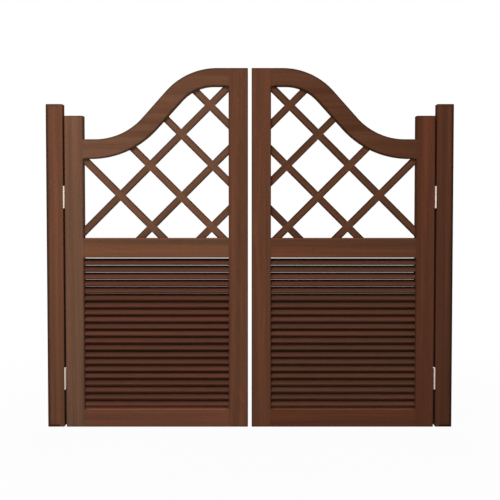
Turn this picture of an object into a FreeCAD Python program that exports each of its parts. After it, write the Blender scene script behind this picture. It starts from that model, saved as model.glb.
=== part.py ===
"""Cafe swinging doors: two posts, two louvred and latticed leaves, four double-action spring hinges.

Frame: +Z up, X along the doorway, -Y is the front. The origin is midway between the posts, at the
middle of the wood's thickness, level with the bottom of the posts and leaves. All sizes in mm.

The left leaf and the left upper hinge are modelled. The right leaf's wood is the left's mirror image.
The hinges are all alike, so the lower one is a copy moved down, and the right-hand ones are copies
turned half a turn about Z: that puts their post-side barrels at the back, so two leaves that are
open on both barrels pass each other.
"""
import FreeCAD, Part
import math
import os

import Sketcher
from FreeCAD import Placement, Rotation, Vector

X_AXIS = Vector(1, 0, 0)
Y_AXIS = Vector(0, 1, 0)
Z_AXIS = Vector(0, 0, 1)
TINY = 1e-6

doc = FreeCAD.newDocument("CafeDoors")
nodes = {}

# ---------------------------------------------------------------- driving sizes

SIZES = {
    # posts
    "post_width": 49.6,
    "post_height": 964,
    "post_arris": 2,
    "fixing_inset": 60,
    "fixing_radius": 3.25,
    "fixing_head_radius": 7,
    "fixing_head_depth": 10,
    # leaves and the gaps about them
    "wood_thickness": 40,
    "leaf_width": 544,
    "meeting_gap": 11,
    "hinge_gap": 5.9,
    "hinge_stile_width": 54.5,
    "meeting_stile_width": 57.5,
    "stile_arris": 1.5,
    "stile_horn": 69.5,
    "meeting_stile_height": 1070,
    "rail_arris": 1.5,
    "bottom_rail_width": 54,
    "middle_rail_width": 58,
    "middle_rail_top": 566,
    # the top rail: its width at the foot and at the crown, and the S of each edge
    "foot_width": 57.5,
    "crown_width": 53,
    "top_rail_rise": 210,
    "upper_lead": 35,
    "upper_landing": 34,
    "upper_straight": 106,
    "upper_hollow_share": 0.483,
    "under_lead": 18.5,
    "under_landing": 43.5,
    "under_straight": 115,
    "under_hollow_share": 0.678,
    # joints of the frame
    "tenon_length": 38,
    "tenon_thickness": 12,
    "tenon_shoulder": 9,
    "dowel_radius": 4,
    "dowel_inset": 16,
    "dowel_spacing": 20,
    "dowel_cover": 6,
    # lattice
    "bar_width": 21.5,
    "bar_thickness": 14,
    "falling_margin": 111.5,
    "rising_margin": 84,
    "second_fall": 0.333,
    "third_fall": 0.681,
    "second_rise": 0.51,
    "bar_arris": 1,
    "bar_tenon": 8,
    # louvre
    "slat_pitch": 21.3,
    "slat_lift": 1.2,
    "slat_width": 30.2,
    "slat_thickness": 7,
    "slat_angle": 29,
    "slat_nose": 2,
    "slat_housing": 8,
    # hinges
    "upper_hinge_height": 688,
    "lower_hinge_height": 146,
    "plate_height": 61,
    "plate_thickness": 1.5,
    "plate_setback": 1,
    "barrel_clearance": 0.5,
    "knuckle_height": 7,
    "knuckle_clearance": 0.3,
    "tube_wall": 0.8,
    "bush_length": 5,
    "pin_radius": 1.1,
    "running_clearance": 0.05,
    "pin_head_height": 2,
    "collar_height": 3,
    "collar_hole": 0.8,
    "spring_clearance": 0.15,
    "spring_play": 0.3,
    "spring_pitch": 2.6,
    # screws of the hinge plates
    "screw_length": 18,
    "screw_radius": 1.4,
    "screw_tip": 3,
    "screw_head_radius": 2.6,
    "screw_hole_clearance": 0.2,
    "screw_slot_width": 0.7,
    "screw_slot_depth": 0.6,
    "screw_rise": 21,
    "screw_stagger": 6,
}

# How many fixing holes a post has.
FIXING_COUNT = 4

sheet = doc.addObject("Spreadsheet::Sheet", "Sizes")
for row, (alias, number) in enumerate(SIZES.items(), start=1):
    sheet.set("A%d" % row, alias)
    sheet.set("B%d" % row, str(number))
    sheet.setAlias("B%d" % row, alias)
doc.recompute()


def size(text):
    """The value of an expression over the sheet."""
    return float(sheet.evalExpression(text))


# Lengths that follow from the driving sizes, as expressions.
HALF_THICK = "(Sizes.wood_thickness / 2)"
LEAF_EDGE = "(Sizes.meeting_gap / 2 + Sizes.leaf_width)"
POST_FACE = "(%s + Sizes.hinge_gap)" % LEAF_EDGE
INNER_FAR = "(Sizes.leaf_width - Sizes.meeting_stile_width)"
BOTTOM_RAIL_TOP = "Sizes.bottom_rail_width"
MIDDLE_RAIL_BOTTOM = "(Sizes.middle_rail_top - Sizes.middle_rail_width)"
FOOT_TOP = "(Sizes.meeting_stile_height - Sizes.top_rail_rise)"
FOOT_BOTTOM = "(%s - Sizes.foot_width)" % FOOT_TOP
CROWN_TOP = "Sizes.meeting_stile_height"
CROWN_BOTTOM = "(%s - Sizes.crown_width)" % CROWN_TOP
TENON_NEAR = "(Sizes.hinge_stile_width - Sizes.tenon_length)"
TENON_FAR = "(%s + Sizes.tenon_length)" % INNER_FAR
BAR_REACH = "(2 * Sizes.meeting_stile_height)"
LOUVRE_OPENING = "(%s - %s)" % (MIDDLE_RAIL_BOTTOM, BOTTOM_RAIL_TOP)
SLAT_RISE = "(Sizes.slat_width * sin(Sizes.slat_angle) + Sizes.slat_thickness * cos(Sizes.slat_angle))"
SLAT_COUNT = "(floor((%s - %s) / Sizes.slat_pitch) + 1)" % (LOUVRE_OPENING, SLAT_RISE)
SLAT_STACK = "((%s - 1) * Sizes.slat_pitch)" % SLAT_COUNT
BARREL_RADIUS = "(Sizes.hinge_gap / 2)"
TUBE_BORE = "(%s - Sizes.tube_wall)" % BARREL_RADIUS
SPRING_WIRE = "((%s - Sizes.pin_radius - Sizes.spring_clearance - Sizes.spring_play) / 2)" % TUBE_BORE
BARREL_OUT = "(%s + Sizes.barrel_clearance + %s)" % (HALF_THICK, BARREL_RADIUS)
TUBE_LENGTH = "(Sizes.plate_height - 2 * (Sizes.knuckle_height + Sizes.knuckle_clearance))"
HINGE_X = "(-%s - Sizes.hinge_gap / 2)" % LEAF_EDGE
HINGE_STEP = "(Sizes.lower_hinge_height - Sizes.upper_hinge_height)"


def s_line(low, high, lead, landing, straight, hollow_share):
    """One edge of the top rail: its levels, the ends of its curve, and the radii of its two arcs."""
    start = "(Sizes.hinge_stile_width + %s)" % lead
    end = "(%s - %s)" % (INNER_FAR, landing)
    rise = "(%s - %s)" % (high, low)
    # two arcs and the straight tangent between them have to climb the rise in the run
    both = "(((%s - %s) ^ 2 + %s ^ 2 - %s ^ 2) / (2 * %s))" % (end, start, rise, straight, rise)
    hollow = "(%s * %s)" % (hollow_share, both)
    crown = "((1 - %s) * %s)" % (hollow_share, both)
    return {"low": low, "high": high, "start": start, "end": end, "hollow": hollow, "crown": crown}


UPPER_EDGE = s_line(FOOT_TOP, CROWN_TOP, "Sizes.upper_lead", "Sizes.upper_landing",
                    "Sizes.upper_straight", "Sizes.upper_hollow_share")
UNDERSIDE = s_line(FOOT_BOTTOM, CROWN_BOTTOM, "Sizes.under_lead", "Sizes.under_landing",
                   "Sizes.under_straight", "Sizes.under_hollow_share")


# ---------------------------------------------------------------- helpers

def bind(item, **texts):
    """Bind properties to expressions over the sheet."""
    for prop, text in texts.items():
        item.setExpression(prop, text)
    return item


def place(item, x="0", y="0", z="0", turn=None):
    """Turn an object about its own origin, then bind where that origin lies."""
    item.Placement = Placement(Vector(), turn or Rotation())
    for prop, text in (("x", x), ("y", y), ("z", z)):
        item.setExpression("Placement.Base." + prop, text)
    return item


def box(name, length, width, height, x="0", y="0", z="0", turn=None):
    item = bind(doc.addObject("Part::Box", name), Length=length, Width=width, Height=height)
    return place(item, x, y, z, turn)


def cylinder(name, radius, height, x="0", y="0", z="0", turn=None):
    item = bind(doc.addObject("Part::Cylinder", name), Radius=radius, Height=height)
    return place(item, x, y, z, turn)


def cone(name, radius_1, radius_2, height, x="0", y="0", z="0", turn=None):
    item = doc.addObject("Part::Cone", name)
    bind(item, Radius1=radius_1, Radius2=radius_2, Height=height)
    return place(item, x, y, z, turn)


def fuse(name, items):
    item = doc.addObject("Part::MultiFuse", name)
    item.Shapes = items
    item.Refine = True
    return item


def cut(name, base, tools):
    """The base less all the tools, which may touch or overlap each other."""
    item = doc.addObject("Part::Cut", name)
    item.Base = base
    item.Tool = tools[0] if len(tools) == 1 else fuse(name + "_tools", tools)
    item.Refine = True
    return item


def common(name, first, second):
    item = doc.addObject("Part::Common", name)
    item.Base = first
    item.Tool = second
    return item


def group(name, items, x="0", y="0", z="0", turn=None):
    """Several objects as one, which also serves to copy one object to another place."""
    item = doc.addObject("Part::Compound", name)
    item.Links = items
    return place(item, x, y, z, turn)


def mirrored(name, source):
    """The mirror image in the plane midway between the posts."""
    item = doc.addObject("Part::Mirroring", name)
    item.Source = source
    item.Normal = X_AXIS
    return item


def node(name, item):
    """Name an object as a finished piece of the doors."""
    item.Label = name
    nodes[name] = item
    return item


# ---------------------------------------------------------------- sketched bodies

def new_body(name, x="0", y="0", z="0"):
    body = doc.addObject("PartDesign::Body", name)
    body.AllowCompound = True
    return place(body, x, y, z)


def origin_of(body, role):
    return next(f for f in body.Origin.OriginFeatures if f.Role == role)


def new_sketch(body, name, plane):
    sketch = body.newObject("Sketcher::SketchObject", name)
    sketch.AttachmentSupport = [(origin_of(body, plane), "")]
    sketch.MapMode = "FlatFace"
    return sketch


def constrain(sketch, kind, *args, text=None):
    """Add a constraint, and bind its value when it has one."""
    if text is None:
        return sketch.addConstraint(Sketcher.Constraint(kind, *args))
    index = sketch.addConstraint(Sketcher.Constraint(kind, *args, size(text)))
    sketch.setExpression("Constraints[%d]" % index, text)
    return index


def locate(sketch, curve, point, across=None, up=None):
    """Fix a point of a curve by its distances from the sketch's origin."""
    if across is not None:
        constrain(sketch, "DistanceX", -1, 1, curve, point, text=across)
    if up is not None:
        constrain(sketch, "DistanceY", -1, 1, curve, point, text=up)


def polygon(sketch, corners):
    """A closed outline whose corners are pairs of expressions."""
    points = [Vector(size(x), size(y), 0) for x, y in corners]
    first = sketch.GeometryCount
    count = len(points)
    for start, end in zip(points, points[1:] + points[:1]):
        sketch.addGeometry(Part.LineSegment(start, end))
    for index in range(count):
        constrain(sketch, "Coincident", first + index, 2, first + (index + 1) % count, 1)
    for index, (x, y) in enumerate(corners):
        locate(sketch, first + index, 1, x, y)
    return sketch


def rectangle(sketch, x, y, far_x, far_y):
    return polygon(sketch, [(x, y), (far_x, y), (far_x, far_y), (x, far_y)])


def pad(body, name, sketch, length, midplane=True):
    item = body.newObject("PartDesign::Pad", name)
    item.Profile = sketch
    item.Midplane = midplane
    item.setExpression("Length", length)
    return item


def edges_where(item, test):
    """Names of the edges of a feature that pass the test."""
    doc.recompute()
    return ["Edge%d" % n for n, edge in enumerate(item.Shape.Edges, start=1) if test(edge)]


def ease(body, name, base, radius, test):
    """Round the chosen arrises."""
    item = body.newObject("PartDesign::Fillet", name)
    item.Base = (base, edges_where(base, test))
    item.setExpression("Radius", radius)
    body.Tip = item
    return item


def along_a_rail(edge):
    """Whether an edge of a rail lies on its front or back face, and not at a shoulder."""
    bounds = edge.BoundBox
    return bounds.YLength < TINY and bounds.XLength > TINY


# ---------------------------------------------------------------- posts

def post():
    """The left post, with a row of counterbored fixing holes through to the wall."""
    outer = "-%s - Sizes.post_width" % POST_FACE
    mouth = "-%s - Sizes.fixing_head_depth" % POST_FACE
    body = new_body("PostWood", outer)
    outline = rectangle(new_sketch(body, "PostFace", "XZ_Plane"),
                        "0", "0", "Sizes.post_width", "Sizes.post_height")
    wood = pad(body, "PostPad", outline, "Sizes.wood_thickness")
    ease(body, "PostEased", wood, "Sizes.post_arris", lambda edge: True)
    step = "(Sizes.post_height - 2 * Sizes.fixing_inset) / %d" % (FIXING_COUNT - 1)
    along_x = Rotation(Y_AXIS, 90)
    holes = []
    for index in range(FIXING_COUNT):
        height = "Sizes.fixing_inset + %d * %s" % (index, step)
        holes.append(cylinder("FixingHole", "Sizes.fixing_radius", "Sizes.post_width",
                              outer, "0", height, along_x))
        holes.append(cylinder("FixingMouth", "Sizes.fixing_head_radius", "Sizes.fixing_head_depth",
                              mouth, "0", height, along_x))
    return cut("PostDrilled", body, holes)


# ---------------------------------------------------------------- leaf frame

def leaf_body(name):
    """A body whose origin is the foot of the left leaf's hinge edge."""
    return new_body(name, "-" + LEAF_EDGE)


def stile(name, left, right, height):
    body = leaf_body(name)
    outline = rectangle(new_sketch(body, name + "Face", "XZ_Plane"), left, "0", right, height)
    wood = pad(body, name + "Pad", outline, "Sizes.wood_thickness")
    ease(body, name + "Eased", wood, "Sizes.stile_arris", lambda edge: True)
    return body


def add_tenon(body, name, left, right, bottom, top):
    """A tenon through part of a rail, between its shoulders top and bottom."""
    low = "%s + Sizes.tenon_shoulder" % bottom
    high = "%s - Sizes.tenon_shoulder" % top
    outline = rectangle(new_sketch(body, name + "Face", "XZ_Plane"), left, low, right, high)
    return pad(body, name, outline, "Sizes.tenon_thickness")


def straight_rail(name, bottom, top):
    body = leaf_body(name)
    outline = rectangle(new_sketch(body, name + "Face", "XZ_Plane"),
                        "Sizes.hinge_stile_width", bottom, INNER_FAR, top)
    wood = pad(body, name + "Pad", outline, "Sizes.wood_thickness")
    ease(body, name + "Eased", wood, "Sizes.rail_arris", along_a_rail)
    add_tenon(body, name + "Tenon", TENON_NEAR, TENON_FAR, bottom, top)
    return body


def ogee(sketch, edge, above, left, right):
    """A line at a set distance above an edge of the top rail: level, hollow, slope, round, level.

    Returns the numbers of its first and last curves.
    """
    low = "(%s + %s)" % (edge["low"], above)
    high = "(%s + %s)" % (edge["high"], above)
    hollow = "(%s - %s)" % (edge["hollow"], above)
    crown = "(%s + %s)" % (edge["crown"], above)
    hollow_r = size(hollow)
    crown_r = size(crown)
    centre_1 = Vector(size(edge["start"]), size(low) + hollow_r, 0)
    centre_2 = Vector(size(edge["end"]), size(high) - crown_r, 0)
    between = centre_2 - centre_1
    slope = math.atan2(between.y, between.x) + math.asin((hollow_r + crown_r) / between.Length)
    down = Vector(math.sin(slope), -math.cos(slope), 0)
    bend_1 = centre_1 + down * hollow_r
    bend_2 = centre_2 - down * crown_r
    foot = centre_1 - Vector(0, hollow_r, 0)
    crest = centre_2 + Vector(0, crown_r, 0)
    hollow_circle = Part.Circle(centre_1, Z_AXIS, hollow_r)
    crown_circle = Part.Circle(centre_2, Z_AXIS, crown_r)
    quarter = math.pi / 2
    first = sketch.GeometryCount
    sketch.addGeometry(Part.LineSegment(Vector(size(left), foot.y, 0), foot))
    sketch.addGeometry(Part.ArcOfCircle(hollow_circle, -quarter, slope - quarter))
    sketch.addGeometry(Part.LineSegment(bend_1, bend_2))
    sketch.addGeometry(Part.ArcOfCircle(crown_circle, quarter, slope + quarter))
    sketch.addGeometry(Part.LineSegment(crest, Vector(size(right), crest.y, 0)))
    constrain(sketch, "Tangent", first, 2, first + 1, 1)
    constrain(sketch, "Tangent", first + 1, 2, first + 2, 1)
    constrain(sketch, "Tangent", first + 2, 2, first + 3, 2)
    constrain(sketch, "Tangent", first + 3, 1, first + 4, 1)
    constrain(sketch, "Horizontal", first)
    constrain(sketch, "Horizontal", first + 4)
    constrain(sketch, "Radius", first + 1, text=hollow)
    constrain(sketch, "Radius", first + 3, text=crown)
    locate(sketch, first + 1, 3, across=edge["start"])
    locate(sketch, first + 3, 3, across=edge["end"])
    locate(sketch, first, 1, left, low)
    locate(sketch, first + 4, 2, right, high)
    return first, first + 4


def join(sketch, curve_1, point_1, curve_2, point_2):
    """A straight line that closes an outline between two open ends."""
    ends = [sketch.getPoint(curve_1, point_1), sketch.getPoint(curve_2, point_2)]
    line = sketch.addGeometry(Part.LineSegment(*ends))
    constrain(sketch, "Coincident", line, 1, curve_1, point_1)
    constrain(sketch, "Coincident", line, 2, curve_2, point_2)


def top_rail():
    body = leaf_body("TopRail")
    sketch = new_sketch(body, "TopRailFace", "XZ_Plane")
    upper = ogee(sketch, UPPER_EDGE, "0", "Sizes.hinge_stile_width", INNER_FAR)
    lower = ogee(sketch, UNDERSIDE, "0", "Sizes.hinge_stile_width", INNER_FAR)
    join(sketch, upper[0], 1, lower[0], 1)
    join(sketch, upper[1], 2, lower[1], 2)
    wood = pad(body, "TopRailPad", sketch, "Sizes.wood_thickness")
    ease(body, "TopRailEased", wood, "Sizes.rail_arris", along_a_rail)
    low_root = "Sizes.hinge_stile_width + Sizes.tenon_shoulder"
    high_root = "%s - Sizes.tenon_shoulder" % INNER_FAR
    add_tenon(body, "TopRailLowTenon", TENON_NEAR, low_root, FOOT_BOTTOM, FOOT_TOP)
    add_tenon(body, "TopRailHighTenon", high_root, TENON_FAR, CROWN_BOTTOM, CROWN_TOP)
    return body


def dowels():
    """Pegs from the back through each mortise and tenon, two to a joint, that stop short of the front."""
    near = "-%s + Sizes.hinge_stile_width - Sizes.dowel_inset" % LEAF_EDGE
    far = "-%s + %s + Sizes.dowel_inset" % (LEAF_EDGE, INNER_FAR)
    joints = [
        (near, "Sizes.bottom_rail_width / 2"),
        (far, "Sizes.bottom_rail_width / 2"),
        (near, "Sizes.middle_rail_top - Sizes.middle_rail_width / 2"),
        (far, "Sizes.middle_rail_top - Sizes.middle_rail_width / 2"),
        (near, "(%s - Sizes.foot_width / 2)" % FOOT_TOP),
        (far, "(%s - Sizes.crown_width / 2)" % CROWN_TOP),
    ]
    toward_front = Rotation(X_AXIS, 90)
    pegs = []
    for x, middle in joints:
        for side in (-1, 1):
            height = "%s + %d * Sizes.dowel_spacing / 2" % (middle, side)
            pegs.append(cylinder("Dowel", "Sizes.dowel_radius", "Sizes.wood_thickness - Sizes.dowel_cover",
                                 x, HALF_THICK, height, toward_front))
    return group("Dowels", pegs)


# ---------------------------------------------------------------- lattice

def lattice_field():
    """The lattice's opening, grown by the depth that the bars are let into the frame."""
    body = leaf_body("LatticeField")
    sketch = new_sketch(body, "LatticeFieldFace", "XZ_Plane")
    near = "(Sizes.hinge_stile_width - Sizes.bar_tenon)"
    far = "(%s + Sizes.bar_tenon)" % INNER_FAR
    foot = "(Sizes.middle_rail_top - Sizes.bar_tenon)"
    upper = ogee(sketch, UNDERSIDE, "Sizes.bar_tenon", near, far)
    corners = [Vector(size(x), size(foot), 0) for x in (near, far)]
    base = sketch.addGeometry(Part.LineSegment(*corners))
    locate(sketch, base, 1, near, foot)
    locate(sketch, base, 2, far, foot)
    join(sketch, base, 1, upper[0], 1)
    join(sketch, base, 2, upper[1], 2)
    pad(body, "LatticeFieldPad", sketch, "Sizes.wood_thickness")
    return body


def strip(name, corner_x, corner_z, drop, turn, thickness, front):
    """A long bar at 45 degrees whose middle line passes a set drop above or below a corner."""
    start_x = "-%s + %s" % (LEAF_EDGE, corner_x)
    start_z = "%s %s" % (corner_z, drop)
    item = box(name, BAR_REACH, thickness, "Sizes.bar_width")
    # the box's own middle line is brought to the origin, turned, and then moved to the corner
    half_diagonal = "Sizes.bar_width / 2 * sin(45)"
    run = "%s / 2 * cos(45)" % BAR_REACH
    sign = 1 if turn > 0 else -1
    shift_x = "-%s + %d * %s" % (run, sign, half_diagonal)
    shift_z = "-%d * %s - %s" % (sign, run, half_diagonal)
    return place(item, "%s + (%s)" % (start_x, shift_x), front, "%s + (%s)" % (start_z, shift_z),
                 Rotation(Y_AXIS, -turn))


def rounded_strip(name, source):
    """The strip with its four long arrises eased."""
    doc.recompute()
    radius = size("Sizes.bar_arris")
    long_edges = [n for n, edge in enumerate(source.Shape.Edges, start=1)
                  if edge.Length > size("Sizes.meeting_stile_height")]
    item = doc.addObject("Part::Fillet", name)
    item.Base = source
    item.Edges = [(n, radius, radius) for n in long_edges]
    return item


def lattice(field):
    """Bars that fall from the low corner under the top rail, and bars that rise to the high one.

    The first bar of a family meets its corner, the last stops a margin short of the far corner, and
    those between stand at set shares of the way.
    """
    hinge_corner = ("Sizes.hinge_stile_width", FOOT_BOTTOM)
    meeting_corner = (INNER_FAR, CROWN_BOTTOM)
    across = "(%s - Sizes.hinge_stile_width)" % INNER_FAR
    falling_room = "(%s + %s - %s - Sizes.falling_margin)" % (across, CROWN_BOTTOM, FOOT_BOTTOM)
    rising_room = "(%s - Sizes.middle_rail_top - Sizes.rising_margin)" % CROWN_BOTTOM
    falling_shares = ("0", "Sizes.second_fall", "Sizes.third_fall", "1")
    rising_shares = ("0", "Sizes.second_rise", "1")
    families = {
        "falling": (hinge_corner, "+", falling_room, falling_shares, -45),
        "rising": (meeting_corner, "-", rising_room, rising_shares, 45),
    }
    half = "Sizes.bar_thickness / 2"
    whole = {}
    halves = {}
    for family, (corner, sign, room, shares, turn) in families.items():
        whole[family] = []
        halves[family] = []
        half_front = "-" + half if family == "falling" else "0"
        for index, share in enumerate(shares, start=1):
            drop = "%s %s * %s" % (sign, room, share)
            name = "%s%d" % (family.capitalize(), index)
            full = strip(name + "Strip", *corner, drop, turn, "Sizes.bar_thickness", "-" + half)
            whole[family].append(common(name + "Trimmed", rounded_strip(name + "Eased", full), field))
            halves[family].append(strip(name + "Half", *corner, drop, turn, half, half_front))
    bars = {}
    for family, other in (("falling", "rising"), ("rising", "falling")):
        notches = group(family.capitalize() + "Notches", halves[other])
        for index, bar in enumerate(whole[family], start=1):
            name = "%s_bar_%d" % (family, index)
            bars[name] = cut(name + "_halved", bar, [notches])
    return bars


# ---------------------------------------------------------------- louvre

def louvre():
    """Slats that slope down to the front, housed in both stiles."""
    first = "%s + (%s - %s) / 2 + Sizes.slat_lift" % (BOTTOM_RAIL_TOP, LOUVRE_OPENING, SLAT_STACK)
    body = new_body("Slat", "-%s + Sizes.hinge_stile_width - Sizes.slat_housing" % LEAF_EDGE, "0", first)
    sketch = new_sketch(body, "SlatSection", "YZ_Plane")
    half_width = size("Sizes.slat_width / 2")
    half_thick = size("Sizes.slat_thickness / 2")
    angle = size("Sizes.slat_angle")
    turn = Rotation(Z_AXIS, angle)
    signs = ((-1, -1), (1, -1), (1, 1), (-1, 1))
    corners = [turn.multVec(Vector(x * half_width, y * half_thick, 0)) for x, y in signs]
    for start, end in zip(corners, corners[1:] + corners[:1]):
        sketch.addGeometry(Part.LineSegment(start, end))
    for index in range(4):
        constrain(sketch, "Coincident", index, 2, (index + 1) % 4, 1)
    constrain(sketch, "Parallel", 0, 2)
    constrain(sketch, "Parallel", 1, 3)
    constrain(sketch, "Perpendicular", 0, 1)
    constrain(sketch, "Symmetric", 0, 1, 2, 1, -1, 1)
    constrain(sketch, "Distance", 0, text="Sizes.slat_width")
    constrain(sketch, "Distance", 1, text="Sizes.slat_thickness")
    tilt = sketch.addConstraint(Sketcher.Constraint("Angle", -1, 1, 0, 1, math.radians(angle)))
    sketch.setExpression("Constraints[%d]" % tilt, "Sizes.slat_angle * 1 deg")
    length = "%s - Sizes.hinge_stile_width + 2 * Sizes.slat_housing" % INNER_FAR
    wood = pad(body, "SlatPad", sketch, length, midplane=False)
    nose = ease(body, "SlatEased", wood, "Sizes.slat_nose", lambda edge: edge.BoundBox.XLength > TINY)
    pattern = body.newObject("PartDesign::LinearPattern", "SlatRow")
    pattern.Originals = [wood, nose]
    pattern.Direction = (origin_of(body, "Z_Axis"), [""])
    pattern.setExpression("Length", SLAT_STACK)
    pattern.setExpression("Occurrences", SLAT_COUNT)
    body.Tip = pattern
    return body


# ---------------------------------------------------------------- hinges

def hinge_place(y="0", z="0"):
    """A place on the left upper hinge, from its middle."""
    return {"x": HINGE_X, "y": y, "z": "Sizes.upper_hinge_height + %s" % z}


def barrel_ring(name, y, bottom, height, bore):
    """A ring of the barrel's outer radius."""
    outer = cylinder(name + "Outer", BARREL_RADIUS, height, **hinge_place(y, bottom))
    inner = cylinder(name + "Bore", bore, height, **hinge_place(y, bottom))
    return outer, inner


def hinge_plate(screw_holes):
    """The plate on the post: flat on its inner side, with a tube curled round the front pin."""
    left = "%s - %s" % (HINGE_X, BARREL_RADIUS)
    half_plate = "Sizes.plate_height / 2"
    half_tube = "%s / 2" % TUBE_LENGTH
    flat = box("PlateFlat", "Sizes.plate_thickness", "Sizes.wood_thickness - Sizes.plate_setback",
               "Sizes.plate_height", left, "-" + HALF_THICK, "Sizes.upper_hinge_height - %s" % half_plate)
    neck = box("PlateNeck", "Sizes.plate_thickness", "%s - %s" % (BARREL_OUT, HALF_THICK), TUBE_LENGTH,
               left, "-" + BARREL_OUT, "Sizes.upper_hinge_height - %s" % half_tube)
    outer, inner = barrel_ring("Tube", "-" + BARREL_OUT, "(-%s)" % half_tube, TUBE_LENGTH, TUBE_BORE)
    return cut("HingePlate", fuse("PlateSolid", [flat, neck, outer]), [inner] + screw_holes)


def hinge_flap():
    """The centre plate, with knuckles above and below both tubes."""
    half_plate = "Sizes.plate_height / 2"
    upper = "(%s - Sizes.knuckle_height)" % half_plate
    lower = "(-%s)" % half_plate
    left = "%s - Sizes.plate_thickness / 2" % HINGE_X
    solids = [box("FlapFlat", "Sizes.plate_thickness", "Sizes.wood_thickness", "Sizes.plate_height",
                  left, "-" + HALF_THICK, "Sizes.upper_hinge_height - %s" % half_plate)]
    bores = []
    for end in (upper, lower):
        solids.append(box("FlapNeck", "Sizes.plate_thickness", "2 * %s" % BARREL_OUT, "Sizes.knuckle_height",
                          left, "-" + BARREL_OUT, "Sizes.upper_hinge_height + %s" % end))
        for y in ("-" + BARREL_OUT, BARREL_OUT):
            outer, inner = barrel_ring("Knuckle", y, end, "Sizes.knuckle_height", "Sizes.pin_radius")
            solids.append(outer)
            bores.append(inner)
    return cut("HingeFlap", fuse("FlapSolid", solids), bores)


def hinge_pin(name, y):
    """A pin pressed in the flap's knuckles, with a head below."""
    half_plate = "Sizes.plate_height / 2"
    shank = cylinder(name + "Shank", "Sizes.pin_radius", "Sizes.plate_height + Sizes.collar_height",
                     **hinge_place(y, "(-%s)" % half_plate))
    head = cylinder(name + "Head", BARREL_RADIUS, "Sizes.pin_head_height",
                    **hinge_place(y, "(-%s - Sizes.pin_head_height)" % half_plate))
    return fuse(name, [shank, head])


def hinge_collar(name, y):
    """The ring that winds the spring, on the pin's upper end, with a cross hole for a tommy bar."""
    outer, inner = barrel_ring(name, y, "Sizes.plate_height / 2", "Sizes.collar_height", "Sizes.pin_radius")
    middle = "Sizes.upper_hinge_height + (Sizes.plate_height + Sizes.collar_height) / 2"
    hole = cylinder(name + "Hole", "Sizes.collar_hole", "2 * %s" % BARREL_RADIUS,
                    "%s - %s" % (HINGE_X, BARREL_RADIUS), y, middle, Rotation(Y_AXIS, 90))
    return cut(name, outer, [inner, hole])


def tube_bush(name, y, bottom):
    """A bush pressed in the end of a tube, that runs on the pin."""
    outer = cylinder(name + "Outer", TUBE_BORE, "Sizes.bush_length", **hinge_place(y, bottom))
    inner = cylinder(name + "Bore", "Sizes.pin_radius + Sizes.running_clearance", "Sizes.bush_length",
                     **hinge_place(y, bottom))
    return cut(name, outer, [inner])


def spring(name, y):
    """The torsion spring round the pin, between the bushes."""
    room = "(%s - 2 * Sizes.bush_length)" % TUBE_LENGTH
    mean = "(Sizes.pin_radius + Sizes.spring_clearance + %s)" % SPRING_WIRE
    end_gap = "(%s + Sizes.spring_clearance)" % SPRING_WIRE
    body = new_body(name, **hinge_place(y, "(-%s / 2 + %s)" % (room, end_gap)))
    sketch = new_sketch(body, name + "Wire", "XZ_Plane")
    centre = Vector(size(mean), 0, 0)
    sketch.addGeometry(Part.Circle(centre, Z_AXIS, size(SPRING_WIRE)))
    constrain(sketch, "PointOnObject", 0, 3, -1)
    locate(sketch, 0, 3, across=mean)
    constrain(sketch, "Radius", 0, text=SPRING_WIRE)
    coil = body.newObject("PartDesign::AdditiveHelix", name + "Coil")
    coil.Profile = sketch
    coil.ReferenceAxis = (sketch, ["V_Axis"])
    coil.Mode = "pitch-height-angle"
    coil.setExpression("Pitch", "Sizes.spring_pitch")
    coil.setExpression("Height", "%s - 2 * %s" % (room, end_gap))
    return body


def screw():
    """A slotted countersunk wood screw that points along -X, with its head's top at the origin."""
    grip = "(Sizes.screw_head_radius - Sizes.screw_radius)"
    back = Rotation(Y_AXIS, -90)
    head = cone("ScrewHead", "Sizes.screw_head_radius", "Sizes.screw_radius", grip, turn=back)
    shank = cylinder("ScrewShank", "Sizes.screw_radius", "Sizes.screw_length - Sizes.screw_tip", turn=back)
    tip = cone("ScrewTip", "Sizes.screw_radius", "0", "Sizes.screw_tip",
               "-(Sizes.screw_length - Sizes.screw_tip)", turn=back)
    slot = box("ScrewSlot", "Sizes.screw_slot_depth", "Sizes.screw_slot_width",
               "2 * Sizes.screw_head_radius",
               "-Sizes.screw_slot_depth", "-Sizes.screw_slot_width / 2", "-Sizes.screw_head_radius")
    return cut("Screw", fuse("ScrewSolid", [head, shank, tip]), [slot])


def screw_hole():
    """The countersunk hole in a plate that a screw passes."""
    back = Rotation(Y_AXIS, -90)
    wide = "(Sizes.screw_radius + Sizes.screw_hole_clearance)"
    sink = cone("HoleSink", "Sizes.screw_head_radius", "Sizes.screw_radius",
                "(Sizes.screw_head_radius - Sizes.screw_radius)", turn=back)
    through = cylinder("HoleThrough", wide, "Sizes.plate_thickness", turn=back)
    return fuse("ScrewHole", [sink, through])


HALF_TURN = Rotation(Z_AXIS, 180)
TO_LOWER = {"z": HINGE_STEP}
TO_RIGHT = {"turn": HALF_TURN}
TO_RIGHT_LOWER = {"z": HINGE_STEP, "turn": HALF_TURN}
TO_LEAF = {"x": "2 * %s" % HINGE_X, "turn": HALF_TURN}
TO_LEAF_LOWER = {"x": "2 * %s" % HINGE_X, "z": HINGE_STEP, "turn": HALF_TURN}
TO_RIGHT_LEAF = {"x": "-2 * %s" % HINGE_X}
TO_RIGHT_LEAF_LOWER = {"x": "-2 * %s" % HINGE_X, "z": HINGE_STEP}


def copies(name, source, places):
    """One object that holds a copy of the source at each place."""
    return group(name, [group(name + "Copy", [source], **spot) for spot in places])


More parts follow.
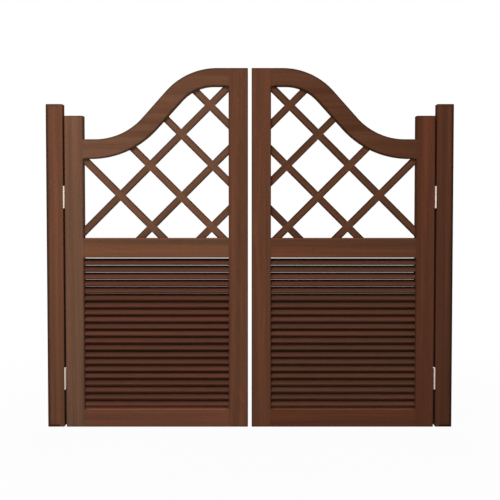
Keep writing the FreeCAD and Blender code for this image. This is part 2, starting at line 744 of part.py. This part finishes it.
def three_screws(name, source):
    """The source at the three screw places of the post plate, on its inner side."""
    surface = "%s - %s + Sizes.plate_thickness" % (HINGE_X, BARREL_RADIUS)
    spots = []
    for level, side in ((-1, -1), (0, 1), (1, -1)):
        spots.append({
            "x": surface,
            "y": "%d * Sizes.screw_stagger" % side,
            "z": "Sizes.upper_hinge_height + %d * Sizes.screw_rise" % level,
        })
    return copies(name, source, spots)


def make_hinges():
    """All four hinges, and the screws that the wood is drilled for, by where they are driven."""
    screws = three_screws("PlateScrews", screw())
    plate = hinge_plate([three_screws("PlateHoles", screw_hole())])
    flap = hinge_flap()
    front = "-" + BARREL_OUT
    pins = group("PinPair", [hinge_pin("FrontPin", front), hinge_pin("BackPin", BARREL_OUT)])
    collars = group("CollarPair", [hinge_collar("FrontCollar", front),
                                   hinge_collar("BackCollar", BARREL_OUT)])
    coil = spring("Spring", front)
    springs = copies("SpringPair", coil, [{}, TO_LEAF])
    half_tube = "%s / 2" % TUBE_LENGTH
    bushes = group("BushPair", [tube_bush("LowerBush", front, "(-%s)" % half_tube),
                                tube_bush("UpperBush", front, "(%s - Sizes.bush_length)" % half_tube)])
    node("left_upper_post_plate", plate)
    node("left_lower_post_plate", group("LeftLowerPostPlate", [plate], **TO_LOWER))
    node("right_upper_post_plate", group("RightUpperPostPlate", [plate], **TO_RIGHT))
    node("right_lower_post_plate", group("RightLowerPostPlate", [plate], **TO_RIGHT_LOWER))
    node("left_upper_leaf_plate", group("LeftUpperLeafPlate", [plate], **TO_LEAF))
    node("left_lower_leaf_plate", group("LeftLowerLeafPlate", [plate], **TO_LEAF_LOWER))
    node("right_upper_leaf_plate", group("RightUpperLeafPlate", [plate], **TO_RIGHT_LEAF))
    node("right_lower_leaf_plate", group("RightLowerLeafPlate", [plate], **TO_RIGHT_LEAF_LOWER))
    node("left_upper_flap", flap)
    node("left_lower_flap", group("LeftLowerFlap", [flap], **TO_LOWER))
    node("right_upper_flap", group("RightUpperFlap", [flap], **TO_RIGHT))
    node("right_lower_flap", group("RightLowerFlap", [flap], **TO_RIGHT_LOWER))
    for kind, source in (("pins", pins), ("collars", collars), ("springs", springs)):
        node("left_hinge_" + kind, copies("Left" + kind, source, [{}, TO_LOWER]))
        node("right_hinge_" + kind, copies("Right" + kind, source, [TO_RIGHT, TO_RIGHT_LOWER]))
    node("post_barrel_bushes", copies("PostBushes", bushes, [{}, TO_LOWER, TO_RIGHT, TO_RIGHT_LOWER]))
    node("left_leaf_barrel_bushes", copies("LeftLeafBushes", bushes, [TO_LEAF, TO_LEAF_LOWER]))
    node("right_leaf_barrel_bushes", copies("RightLeafBushes", bushes, [TO_RIGHT_LEAF, TO_RIGHT_LEAF_LOWER]))
    driven = {
        "left_post": copies("LeftPostScrews", screws, [{}, TO_LOWER]),
        "right_post": copies("RightPostScrews", screws, [TO_RIGHT, TO_RIGHT_LOWER]),
        "left_leaf": copies("LeftLeafScrews", screws, [TO_LEAF, TO_LEAF_LOWER]),
        "right_leaf": copies("RightLeafScrews", screws, [TO_RIGHT_LEAF, TO_RIGHT_LEAF_LOWER]),
    }
    node("post_plate_screws", group("PostPlateScrews", [driven["left_post"], driven["right_post"]]))
    node("left_leaf_plate_screws", driven["left_leaf"])
    node("right_leaf_plate_screws", driven["right_leaf"])
    return driven


# ---------------------------------------------------------------- the whole

def make_leaves(screws):
    """The left leaf's wood, each piece cut for what enters it, and its mirror image on the right."""
    hinge_stile = stile("HingeStile", "0", "Sizes.hinge_stile_width",
                        "%s + Sizes.stile_horn" % FOOT_TOP)
    meeting_stile = stile("MeetingStile", INNER_FAR, "Sizes.leaf_width", "Sizes.meeting_stile_height")
    rails = {
        "top_rail": top_rail(),
        "middle_rail": straight_rail("MiddleRail", MIDDLE_RAIL_BOTTOM, "Sizes.middle_rail_top"),
        "bottom_rail": straight_rail("BottomRail", "0", BOTTOM_RAIL_TOP),
    }
    pegs = dowels()
    bars = lattice(lattice_field())
    slats = louvre()
    into_stiles = list(rails.values()) + [pegs, slats] + list(bars.values())
    pieces = {
        "hinge_stile": cut("HingeStileCut", hinge_stile, into_stiles),
        "meeting_stile": cut("MeetingStileCut", meeting_stile, into_stiles),
        "louvre_slats": slats,
        "joint_dowels": pegs,
    }
    pieces.update(bars)
    for name, rail in rails.items():
        pieces[name] = cut(rail.Name + "Cut", rail, [pegs] + list(bars.values()))
    for name, piece in pieces.items():
        image = mirrored("Right_" + name, piece)
        if name == "hinge_stile":
            piece = cut("LeftHingeStileDrilled", piece, [screws["left_leaf"]])
            image = cut("RightHingeStileDrilled", image, [screws["right_leaf"]])
        node("left_" + name, piece)
        node("right_" + name, image)


def check_and_write():
    """Check every object, then write each piece to a STEP file of its own."""
    doc.recompute()
    for item in doc.Objects:
        if "Invalid" in item.State or "Error" in item.State:
            raise RuntimeError("%s failed: %s" % (item.Name, item.State))
    os.makedirs("parts", exist_ok=True)
    for name, item in nodes.items():
        shape = item.Shape
        if shape.isNull() or not shape.isValid() or not shape.Solids:
            raise RuntimeError("%s has no valid solid" % name)
        solids = shape.Solids
        whole = solids[0] if len(solids) == 1 else Part.makeCompound(solids)
        whole.exportStep(os.path.join("parts", name + ".step"))
        print("%-28s %2d solid(s) %12.1f mm3" % (name, len(solids), shape.Volume))


driven_screws = make_hinges()
left_post_wood = post()
node("left_post", cut("LeftPost", left_post_wood, [driven_screws["left_post"]]))
right_post_wood = mirrored("RightPostWood", left_post_wood)
node("right_post", cut("RightPost", right_post_wood, [driven_screws["right_post"]]))
make_leaves(driven_screws)
check_and_write()
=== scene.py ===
"""Cafe swinging doors: a pair of saloon leaves on double-action spring hinges between two posts."""
import math

import bpy
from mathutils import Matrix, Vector


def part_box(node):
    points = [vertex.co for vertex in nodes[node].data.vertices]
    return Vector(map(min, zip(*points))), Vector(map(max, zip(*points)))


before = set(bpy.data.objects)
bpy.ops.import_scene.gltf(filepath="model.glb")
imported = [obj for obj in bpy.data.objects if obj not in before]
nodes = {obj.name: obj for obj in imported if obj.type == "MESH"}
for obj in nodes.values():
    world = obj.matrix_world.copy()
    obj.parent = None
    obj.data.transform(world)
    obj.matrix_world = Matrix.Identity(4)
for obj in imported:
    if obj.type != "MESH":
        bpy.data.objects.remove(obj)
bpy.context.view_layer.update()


# ---- The studio -------------------------------------------------------------------------------
# A white sweep with the doors standing on it, seen from straight ahead at waist height.
# A broad soft lamp hangs up and to the left, a weaker one fills from the right, and a third lights
# the doors' other face in the same way. A small one at each end shows the outer sides of the posts.

def put(tree, kind, inputs=None, **settings):
    """Add a node, with its settings and with values or links for its inputs."""
    node = tree.nodes.new(kind)
    for name, value in settings.items():
        setattr(node, name, value)
    for key, value in (inputs or {}).items():
        if isinstance(value, bpy.types.NodeSocket):
            tree.links.new(value, node.inputs[key])
        else:
            node.inputs[key].default_value = value
    return node


def look(place, aim):
    """The turn that points a lamp or a camera from its place at a point."""
    return (Vector(aim) - Vector(place)).to_track_quat("-Z", "Y").to_euler()


def soft_lamp(name, place, aim, size, power, tint, mirrored=True):
    """A square area lamp that looks from its place at a point. Metal shows it only if it is mirrored."""
    data = bpy.data.lights.new(name, "AREA")
    data.shape = "SQUARE"
    data.size = size
    data.energy = power
    data.color = tint
    lamp = bpy.data.objects.new(name, data)
    bpy.context.scene.collection.objects.link(lamp)
    lamp.location = place
    lamp.rotation_euler = look(place, aim)
    lamp.visible_glossy = mirrored


soft_lamp("key_lamp", (-0.8, -3.1, 2.8), (0, 0, 0.6), 1.6, 111, (1, 0.98, 0.95))
soft_lamp("fill_lamp", (0.5, -3.6, 0.9), (0, 0, 0.4), 2.4, 24, (0.97, 0.98, 1))
soft_lamp("rear_lamp", (0, 3.4, 1.5), (0, 0, 0.5), 2.2, 120, (1, 0.99, 0.97))
soft_lamp("left_lamp", (-3.4, 0, 0.5), (0, 0, 0.5), 0.3, 40, (1, 0.99, 0.97), mirrored=False)
soft_lamp("right_lamp", (3.4, 0, 0.5), (0, 0, 0.5), 0.3, 40, (1, 0.99, 0.97), mirrored=False)

ROOM_LIGHT = 0.12
room = bpy.data.worlds.new("white_room")
room.use_nodes = True
room.node_tree.nodes.clear()
seen = put(room.node_tree, "ShaderNodeLightPath")
either = put(room.node_tree, "ShaderNodeMath", {0: seen.outputs["Is Camera Ray"], 1: seen.outputs["Is Glossy Ray"]},
             operation="MAXIMUM")
either = put(room.node_tree, "ShaderNodeMath", {0: either.outputs[0], 1: seen.outputs["Is Transmission Ray"]},
             operation="MAXIMUM")
level = put(room.node_tree, "ShaderNodeMapRange", {"Value": either.outputs[0], "To Min": ROOM_LIGHT, "To Max": 1.0})
glow = put(room.node_tree, "ShaderNodeBackground", {"Color": (1, 1, 1, 1), "Strength": level.outputs[0]})
put(room.node_tree, "ShaderNodeOutputWorld", {"Surface": glow.outputs[0]})
bpy.context.scene.world = room
bpy.context.scene.view_settings.view_transform = "Standard"

bpy.ops.object.select_all(action="DESELECT")
FLOOR_SIZE, FLOOR_DROP = 60, 0.0005
bpy.ops.mesh.primitive_plane_add(size=FLOOR_SIZE, location=(0, 0, -FLOOR_DROP))
floor = bpy.context.active_object
floor.name = "studio_floor"
paper = bpy.data.materials.new("white_sweep")
paper.use_nodes = True
paper.node_tree.nodes.clear()
seen = put(paper.node_tree, "ShaderNodeLightPath")
ground = put(paper.node_tree, "ShaderNodeTexCoord")
away = put(paper.node_tree, "ShaderNodeVectorMath", {0: ground.outputs["Object"]}, operation="LENGTH")
bleach = put(paper.node_tree, "ShaderNodeMapRange", {"Value": away.outputs["Value"], "From Min": 0.6,
                                                     "From Max": 2.2, "To Min": 0.96, "To Max": 1.0})
share = put(paper.node_tree, "ShaderNodeMath", {0: seen.outputs["Is Camera Ray"], 1: bleach.outputs[0]},
            operation="MULTIPLY")
lit = put(paper.node_tree, "ShaderNodeBsdfDiffuse", {"Color": (0.6, 0.6, 0.6, 1)})
bright = put(paper.node_tree, "ShaderNodeEmission", {"Color": (1, 1, 1, 1), "Strength": 1.0})
both = put(paper.node_tree, "ShaderNodeMixShader", {0: share.outputs[0], 1: lit.outputs[0], 2: bright.outputs[0]})
put(paper.node_tree, "ShaderNodeOutputMaterial", {"Surface": both.outputs[0]})
floor.data.materials.append(paper)

EYE_HEIGHT, EYE_DISTANCE, EYE_TURN = 0.683, 3.318, math.radians(87.363)
camera_data = bpy.data.cameras.new("eye")
camera_data.sensor_width = 36
camera_data.lens = 79.8
camera_data.shift_x = 0.0004
camera = bpy.data.objects.new("eye", camera_data)
bpy.context.scene.collection.objects.link(camera)
camera.location = (0, -EYE_DISTANCE, EYE_HEIGHT)
camera.rotation_euler = (EYE_TURN, 0, 0)
bpy.context.scene.camera = camera


# ---- The posts --------------------------------------------------------------------------------
# Two uprights of hardwood, 50 by 40 mm and 964 mm high, screwed to the sides of the doorway through
# holes counterbored from the inner side, where the hinges' post plates lie. The stain is a walnut
# brown under a satin lacquer; the right post is painted darker as painted shade, where the lamps'
# light falls off. Painted shade lies deepest on the outer arrises.

def stain(red, green, blue):
    """A colour of stain on wood, from its screen values to the light that it gives back."""
    light = [((v / 255 + 0.055) / 1.055) ** 2.4 if v > 10 else v / 255 / 12.92 for v in (red, green, blue)]
    return (*light, 1)


def shades(red, green, blue):
    """The stain where the wood takes it deepest, as it mostly is, and where it takes it least."""
    return [stain(0.86 * red, 0.9 * green, 0.92 * blue), stain(red, green, blue),
            stain(1.14 * red, 1.1 * green, 1.08 * blue)]


def grain_group():
    """The grain of a board that runs along Z: colour streaks, year rings, fibres and pores."""
    tree = bpy.data.node_groups.new("board_grain", "ShaderNodeTree")
    for name in ("Vector", "Pith"):
        tree.interface.new_socket(name, in_out="INPUT", socket_type="NodeSocketVector")
    for name in ("Streak", "Rings", "Fibre", "Pores", "Height"):
        tree.interface.new_socket(name, in_out="OUTPUT", socket_type="NodeSocketFloat")
    given = put(tree, "NodeGroupInput")
    board = put(tree, "ShaderNodeVectorMath", {0: given.outputs["Vector"], 1: given.outputs["Pith"]}, operation="ADD")

    def noise(stretch, detail, low, high):
        """Noise stretched along the grain, spread to the whole range between two levels."""
        place = put(tree, "ShaderNodeVectorMath", {0: board.outputs[0], 1: stretch}, operation="MULTIPLY")
        cloud = put(tree, "ShaderNodeTexNoise", {"Vector": place.outputs[0], "Scale": 1.0, "Detail": detail})
        spread = put(tree, "ShaderNodeMapRange", {"Value": cloud.outputs["Fac"], "From Min": low, "From Max": high})
        return spread.outputs[0]

    streak = noise((50, 50, 1.2), 4, 0.34, 0.66)
    fibre = noise((900, 900, 11), 3, 0.25, 0.75)
    pores = noise((1600, 1600, 50), 1, 0.63, 0.74)
    bend = noise((9, 9, 2.2), 2, 0.2, 0.8)
    shift = put(tree, "ShaderNodeMath", {0: bend, 1: 0.022}, operation="MULTIPLY")
    wander = put(tree, "ShaderNodeCombineXYZ", {"X": shift.outputs[0], "Y": shift.outputs[0]})
    tree_place = put(tree, "ShaderNodeVectorMath", {0: board.outputs[0], 1: wander.outputs[0]}, operation="ADD")
    rings = put(tree, "ShaderNodeTexWave", {"Vector": tree_place.outputs[0], "Scale": 70.0, "Distortion": 1.5,
                                            "Detail": 2.0, "Detail Scale": 0.4},
                wave_type="RINGS", rings_direction="Z", wave_profile="SAW")
    raised = put(tree, "ShaderNodeMath", {0: fibre, 1: 0.5, 2: rings.outputs["Fac"]}, operation="MULTIPLY_ADD")
    height = put(tree, "ShaderNodeMath", {0: raised.outputs[0], 1: pores}, operation="SUBTRACT")
    put(tree, "NodeGroupOutput", {"Streak": streak, "Rings": rings.outputs["Fac"], "Fibre": fibre, "Pores": pores,
                                  "Height": height.outputs[0]})
    return tree


def arris_group():
    """How near a point is to an arris of its piece: Crest for arrises that face up, Edge for the rest."""
    tree = bpy.data.node_groups.new("arris", "ShaderNodeTree")
    tree.interface.new_socket("Width", in_out="INPUT", socket_type="NodeSocketFloat")
    for name in ("Edge", "Crest"):
        tree.interface.new_socket(name, in_out="OUTPUT", socket_type="NodeSocketFloat")
    given = put(tree, "NodeGroupInput")
    eased = put(tree, "ShaderNodeBevel", {"Radius": given.outputs["Width"]}, samples=8)
    flat = put(tree, "ShaderNodeNewGeometry")
    same = put(tree, "ShaderNodeVectorMath", {0: eased.outputs[0], 1: flat.outputs["True Normal"]},
               operation="DOT_PRODUCT")
    near = put(tree, "ShaderNodeMapRange", {"Value": same.outputs["Value"], "From Min": 0.9995, "From Max": 0.985})
    facing = put(tree, "ShaderNodeSeparateXYZ", {0: eased.outputs[0]})
    up = put(tree, "ShaderNodeMapRange", {"Value": facing.outputs["Z"], "From Min": 0.05, "From Max": 0.35})
    painted_crest = put(tree, "ShaderNodeMath", {0: near.outputs[0], 1: up.outputs[0]}, operation="MULTIPLY")
    edge = put(tree, "ShaderNodeMath", {0: near.outputs[0], 1: painted_crest.outputs[0]}, operation="SUBTRACT")
    put(tree, "NodeGroupOutput", {"Edge": edge.outputs[0], "Crest": painted_crest.outputs[0]})
    return tree


def lap_group():
    """Where a point of a board lies within a lap across and along it, fading out at the lap's ends."""
    tree = bpy.data.node_groups.new("lap", "ShaderNodeTree")
    tree.interface.new_socket("Vector", in_out="INPUT", socket_type="NodeSocketVector")
    for name in ("Across", "Half Width", "Along", "Half Length", "Fade"):
        tree.interface.new_socket(name, in_out="INPUT", socket_type="NodeSocketFloat")
    tree.interface.new_socket("Lap", in_out="OUTPUT", socket_type="NodeSocketFloat")
    given = put(tree, "NodeGroupInput")
    place = put(tree, "ShaderNodeSeparateXYZ", {0: given.outputs["Vector"]})

    def within(along, centre, half):
        """One within half a length of a centre, and nothing beyond it."""
        off = put(tree, "ShaderNodeMath", {0: place.outputs[along], 1: given.outputs[centre]}, operation="SUBTRACT")
        away = put(tree, "ShaderNodeMath", {0: off.outputs[0]}, operation="ABSOLUTE")
        inside = put(tree, "ShaderNodeMath", {0: given.outputs[half], 1: away.outputs[0]}, operation="SUBTRACT")
        share = put(tree, "ShaderNodeMath", {0: inside.outputs[0], 1: given.outputs["Fade"]}, operation="DIVIDE")
        return put(tree, "ShaderNodeMath", {0: share.outputs[0], 1: 0.5}, operation="ADD", use_clamp=True).outputs[0]

    lap = put(tree, "ShaderNodeMath", {0: within("X", "Across", "Half Width"), 1: within("Z", "Along", "Half Length")},
              operation="MULTIPLY")
    put(tree, "NodeGroupOutput", {"Lap": lap.outputs[0]})
    return tree


grain = grain_group()
arris = arris_group()
lap = lap_group()
LAP_FADE = 0.006


def stained_wood(name, tones, centre, turn, pith, light_drift=0.0, shade=0.7, painted_crest=0.2, reach=0.007, lacquer=0.6,
                 laps=()):
    """Hardwood under stain and satin lacquer, with its grain laid along one board.

    The light_drift is how much paler the board is painted for each metre along it, in steps between its
    tones: painted light, standing in for the lamps' light falling off along the board. Painted shade
    lies along the arrises, as far in as its reach, together with the stain's own deepening there. Those
    that face up take the middle tone times the painted_crest: a painted highlight where it is above 1
    and painted shade where it is below. No painted shade lies on a lap, where another piece is close
    beside this one or planed flush with it: its middle and its half width across the board, and its
    middle and its half length along it.
    """
    made = bpy.data.materials.new(name)
    made.use_nodes = True
    tree = made.node_tree
    tree.nodes.clear()
    place = put(tree, "ShaderNodeTexCoord")
    laid = put(tree, "ShaderNodeMapping", {"Vector": place.outputs["Object"], "Location": centre, "Rotation": turn},
               vector_type="TEXTURE")
    figure = put(tree, "ShaderNodeGroup", node_tree=grain)
    tree.links.new(laid.outputs[0], figure.inputs["Vector"])
    figure.inputs["Pith"].default_value = pith
    along = put(tree, "ShaderNodeSeparateXYZ", {0: laid.outputs[0]})
    # Paler along the board by the light_drift: painted light, the lamps' falloff along it.
    depth = put(tree, "ShaderNodeMath", {0: along.outputs["Z"], 1: light_drift, 2: figure.outputs["Streak"]},
                operation="MULTIPLY_ADD")
    ramp = put(tree, "ShaderNodeValToRGB", {"Fac": depth.outputs[0]})
    ramp.color_ramp.elements[0].color = tones[0]
    ramp.color_ramp.elements[1].color = tones[2]
    ramp.color_ramp.elements.new(0.5).color = tones[1]

    def over(base, mask, strength, colour):
        """Lay a colour over what is there, as strongly as a mask says."""
        amount = put(tree, "ShaderNodeMath", {0: mask, 1: strength}, operation="MULTIPLY")
        mixed = put(tree, "ShaderNodeMix", {"Factor": amount.outputs[0], "A": base, "B": colour}, data_type="RGBA")
        return mixed.outputs["Result"]

    corner = put(tree, "ShaderNodeGroup", {"Width": reach}, node_tree=arris)
    # Masks for the painted shade on the arrises and the painted light or shade on arrises that face up.
    edge, top = corner.outputs["Edge"], corner.outputs["Crest"]
    for across, half_width, along_it, half_length in laps:
        flush = put(tree, "ShaderNodeGroup", node_tree=lap)
        tree.links.new(laid.outputs[0], flush.inputs["Vector"])
        for key, value in (("Across", across), ("Half Width", half_width), ("Along", along_it),
                           ("Half Length", half_length), ("Fade", LAP_FADE)):
            flush.inputs[key].default_value = value
        edge, top = (put(tree, "ShaderNodeMath", {0: mask, 1: flush.outputs[0]}, operation="SUBTRACT",
                         use_clamp=True).outputs[0] for mask in (edge, top))
    # pore_and_shade_dark darkens the pores and gives the painted shade on arrises; lit is the painted_crest tone, a
    # painted highlight or painted shade on arrises that face up.
    deep, pore_and_shade_dark, lit = (tuple(share * c for c in tones[1][:3]) + (1,) for share in (0.62, 0.2, painted_crest))
    colour = over(ramp.outputs[0], figure.outputs["Rings"], 0.28, deep)
    colour = over(colour, figure.outputs["Fibre"], 0.3, deep)
    colour = over(colour, figure.outputs["Pores"], 0.5, pore_and_shade_dark)
    # Painted shade along the arrises.
    colour = over(colour, edge, shade, pore_and_shade_dark)
    # Painted highlight on arrises that face up where painted_crest is above 1, painted shade where it is below.
    colour = over(colour, top, shade, lit)
    sheen = put(tree, "ShaderNodeMapRange", {"Value": figure.outputs["Fibre"], "To Min": lacquer - 0.06,
                                             "To Max": lacquer + 0.08})
    bump = put(tree, "ShaderNodeBump", {"Height": figure.outputs["Height"], "Strength": 0.35, "Distance": 0.0003})
    wood = put(tree, "ShaderNodeBsdfPrincipled", {"Base Color": colour, "Roughness": sheen.outputs[0],
                                                  "Normal": bump.outputs[0], "Specular IOR Level": 0.0})
    put(tree, "ShaderNodeOutputMaterial", {"Surface": wood.outputs[0]})
    return made


def finish_node(name, material):
    """Give a solid of the part its finish in all its slots."""
    slots = nodes[name].data.materials
    if not slots:
        slots.append(material)
    for index in range(len(slots)):
        slots[index] = material


def middle(name):
    """The middle of a solid's box."""
    low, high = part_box(name)
    return tuple((a + b) / 2 for a, b in zip(low, high))


def inner_edge(name):
    """How far right of its middle an upright's inner edge is, towards the middle of the doorway."""
    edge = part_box(name)[1][0] - middle(name)[0]
    return edge if middle(name)[0] < 0 else -edge


UPRIGHT = (0, 0, 0)
GAP_LAP, WHOLE_LENGTH = 0.012, 1.0
# Darker tones on the right post are painted shade; the light_drift paints each post paler towards the top, as painted
# light.
for name, tones, pith in (("left_post", shades(111, 73, 54), (0.02, 0.07, 0.3)),
                          ("right_post", shades(87, 54, 39), (-0.03, 0.06, 5.1))):
    finish_node(name, stained_wood(name + "_wood", tones, middle(name), UPRIGHT, pith, light_drift=0.4, shade=0.95,
                                   painted_crest=0.7, reach=0.015, laps=[(inner_edge(name), GAP_LAP, 0, WHOLE_LENGTH)]))


# ---- The stiles -------------------------------------------------------------------------------
# The uprights of each leaf, 40 mm thick: the hinge stile 54.5 mm wide, which ends in a short horn,
# and the meeting stile 57.5 mm wide, which runs up to the top of the S-curve. Both are mortised for
# the rails, the lattice and the slats. Their grain runs upright.

# The right leaf's stiles take darker tones than the left's: painted shade for the lamps' light falling off to the
# right. Each light_drift paints its stile paler or darker along its length, as painted light.
stile_looks = {
    "left_hinge_stile": (shades(115, 82, 64), 0.5),
    "left_meeting_stile": (shades(102, 66, 48), -0.3),
    "right_meeting_stile": (shades(103, 65, 47), 0.0),
    "right_hinge_stile": (shades(94, 56, 40), 0.2),
}
FOOT_WIDTH, CROWN_WIDTH = 0.0575, 0.053
JOINT_LAP, RAIL_ARRIS = 0.008, 0.001


def stile_laps(stile):
    """The laps where the three rails meet a stile, and the one along a hinge stile's edge by the post."""
    hung = "hinge" in stile
    levels = []
    for rail in ("_bottom_rail", "_middle_rail", "_top_rail"):
        low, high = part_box(stile.split("_")[0] + rail)
        levels.append([low[2], high[2]])
    if hung:
        levels[2][1] = levels[2][0] + FOOT_WIDTH
    else:
        levels[2][0] = levels[2][1] - CROWN_WIDTH
    edge, raised = inner_edge(stile) * (1 if hung else -1), middle(stile)[2]
    laps = [(edge, JOINT_LAP, (low + high) / 2 - raised, (high - low) / 2 - RAIL_ARRIS) for low, high in levels]
    return laps + [(-edge, GAP_LAP, 0, WHOLE_LENGTH)] if hung else laps


for number, (name, (tones, light_drift)) in enumerate(stile_looks.items()):
    finish_node(name, stained_wood(name + "_wood", tones, middle(name), UPRIGHT,
                                   (0.015 * (-1) ** number, 0.06, 1.7 * number), light_drift=light_drift, shade=0.6,
                                   reach=0.006, laps=stile_laps(name)))


# ---- The rails --------------------------------------------------------------------------------
# Three rails tie the stiles of each leaf, tenoned and pegged. The top rail is sawn to an S from
# one wide board, so its grain runs level while its edges climb. The other two are 58 and 54 mm
# wide, and the arrises that face up on them carry a painted highlight, paler than their faces.

LEVEL = (0, math.radians(90), 0)
# The right leaf's rails take darker tones than the left's, and each light_drift makes a rail paler towards one end:
# painted light and shade for the lamps' light falling off from the left. The third number is the painted_crest, a
# painted highlight where above 1.
rail_looks = {
    "left_top_rail": ([stain(98, 64, 45), stain(110, 75, 56), stain(120, 85, 66)], -1.6, 0.2, 0.007),
    "left_middle_rail": (shades(112, 76, 56), -0.8, 2.0, 0.004),
    "left_bottom_rail": (shades(115, 72, 55), 0.0, 2.4, 0.004),
    "right_top_rail": ([stain(82, 49, 34), stain(92, 58, 41), stain(103, 67, 49)], -0.9, 0.2, 0.007),
    "right_middle_rail": (shades(100, 63, 45), -0.8, 2.0, 0.004),
    "right_bottom_rail": (shades(99, 59, 42), 0.0, 2.4, 0.004),
}
TENON_LENGTH, WHOLE_WIDTH = 0.038, 1.0
for number, (name, (tones, light_drift, painted_crest, reach)) in enumerate(rail_looks.items()):
    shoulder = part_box(name)[1][0] - middle(name)[0] - TENON_LENGTH
    finish_node(name, stained_wood(name + "_wood", tones, middle(name), LEVEL, (0.02, 0.07, 2.3 * number),
                                   light_drift=light_drift, painted_crest=painted_crest, reach=reach,
                                   laps=[(0, WHOLE_WIDTH, end, JOINT_LAP) for end in (shoulder, -shoulder)]))


# ---- The lattice ------------------------------------------------------------------------------
# Bars of 21.5 by 14 mm set at 45 degrees and halved over each other, so that both faces are flush.
# Their ends are let into the stiles and rails.

BAR_LAP = 0.0165
# The right leaf's bars take darker tones than the left's: painted shade for the lamps' light falling off to the right.
bar_tones = {"left_falling": shades(114, 79, 61), "left_rising": shades(107, 75, 58),
             "right_falling": shades(97, 63, 46), "right_rising": shades(93, 61, 45)}


def span(name, direction):
    """The least and the most that a solid's points measure along a direction."""
    places = [direction.dot(corner.co) for corner in nodes[name].data.vertices]
    return min(places), max(places)


def bar_laps(name, others, along, across):
    """Where the bars of the other family are halved over this one, by their places along it."""
    start, end = span(name, along)
    line = sum(span(name, across)) / 2
    laps = []
    for other in others:
        place = sum(span(other, along)) / 2
        low, high = span(other, across)
        if start < place < end and low < line < high:
            laps.append((0, WHOLE_WIDTH, place - along.dot(middle(name)), BAR_LAP))
    return laps


for side, mirror in (("left", 1), ("right", -1)):
    families = {"falling": (4, -1), "rising": (3, 1)}
    for family, (count, slope) in families.items():
        angle = math.radians(45 * slope * mirror)
        along = Vector((math.sin(angle), 0, math.cos(angle)))
        across = Vector((-along.x, 0, along.z))
        others = ["%s_%s_bar_%d" % (side, crossing, number) for crossing in families if crossing != family
                  for number in range(1, families[crossing][0] + 1)]
        for number in range(1, count + 1):
            name = "%s_%s_bar_%d" % (side, family, number)
            finish_node(name, stained_wood(name + "_wood", bar_tones[side + "_" + family], middle(name), (0, angle, 0),
                                           (0.01, 0.05, 0.9 * number), shade=0.8, reach=0.007,
                                           laps=bar_laps(name, others, along, across)))


# ---- The louvres ------------------------------------------------------------------------------
# Twenty-one slats 7 mm thick in each leaf, sloping down to the front, with eased noses. Their ends
# are housed in the stiles, so they can't turn.

# The right leaf's slats are darker as painted shade. Their painted_crest of 1.2 paints a highlight on the noses and
# arrises that face up.
slat_tones = {"left": shades(103, 66, 52), "right": shades(99, 65, 51)}
for side, tones in slat_tones.items():
    name = side + "_louvre_slats"
    finish_node(name, stained_wood(name + "_wood", tones, middle(name), LEVEL, (0.3, 0.2, 0.4), painted_crest=1.2))


# ---- The dowels -------------------------------------------------------------------------------
# Pegs of bare beech, 8 mm thick, glued through each tenon inside the stiles. They stay unstained.

for side in ("left", "right"):
    name = side + "_joint_dowels"
    finish_node(name, stained_wood(name + "_wood", shades(205, 170, 128), middle(name), (math.radians(90), 0, 0),
                                   (0, 0, 0), shade=0.1, lacquer=0.7))


# ---- The hinges -------------------------------------------------------------------------------
# Double-action spring hinges of plated steel: a plate on the post, a plate on the leaf, and a flap
# between them with a barrel proud of each face. Satin nickel on what shows, brass for the bushes.

def brushed_metal(name, colour, rough, across):
    """Plated metal with fine brush marks along its height and a duller film in patches."""
    made = bpy.data.materials.new(name)
    made.use_nodes = True
    tree = made.node_tree
    tree.nodes.clear()
    place = put(tree, "ShaderNodeTexCoord")
    marks = put(tree, "ShaderNodeVectorMath", {0: place.outputs["Object"], 1: across}, operation="MULTIPLY")
    brush = put(tree, "ShaderNodeTexNoise", {"Vector": marks.outputs[0], "Scale": 1.0, "Detail": 2.0})
    film = put(tree, "ShaderNodeTexNoise", {"Vector": place.outputs["Object"], "Scale": 60.0, "Detail": 3.0})
    worn = put(tree, "ShaderNodeMapRange", {"Value": film.outputs["Fac"], "From Min": 0.35, "From Max": 0.7})
    tint = put(tree, "ShaderNodeMix", {"Factor": worn.outputs[0]}, data_type="RGBA")
    tint.inputs["A"].default_value = colour
    tint.inputs["B"].default_value = tuple(0.86 * c for c in colour[:3]) + (1,)
    dull = put(tree, "ShaderNodeMapRange", {"Value": worn.outputs[0], "To Min": rough, "To Max": rough + 0.15})
    bump = put(tree, "ShaderNodeBump", {"Height": brush.outputs["Fac"], "Strength": 0.25, "Distance": 0.0001})
    metal = put(tree, "ShaderNodeBsdfPrincipled", {"Base Color": tint.outputs["Result"], "Metallic": 1.0,
                                                   "Roughness": dull.outputs[0], "Normal": bump.outputs[0]})
    put(tree, "ShaderNodeOutputMaterial", {"Surface": metal.outputs[0]})
    return made


nickel = brushed_metal("satin_nickel", stain(222, 208, 196), 0.38, (2500, 2500, 60))
for side in ("left", "right"):
    for height in ("upper", "lower"):
        for leaf in ("post_plate", "leaf_plate", "flap"):
            finish_node("%s_%s_%s" % (side, height, leaf), nickel)
    finish_node(side + "_hinge_collars", nickel)

zinc = brushed_metal("bright_zinc", stain(212, 214, 212), 0.28, (60, 60, 2500))
for name in ("left_hinge_pins", "right_hinge_pins", "left_hinge_springs", "right_hinge_springs",
             "post_plate_screws", "left_leaf_plate_screws", "right_leaf_plate_screws"):
    finish_node(name, zinc)

brass = brushed_metal("bush_brass", stain(201, 166, 92), 0.32, (60, 60, 2500))
for name in ("post_barrel_bushes", "left_leaf_barrel_bushes", "right_leaf_barrel_bushes"):
    finish_node(name, brass)
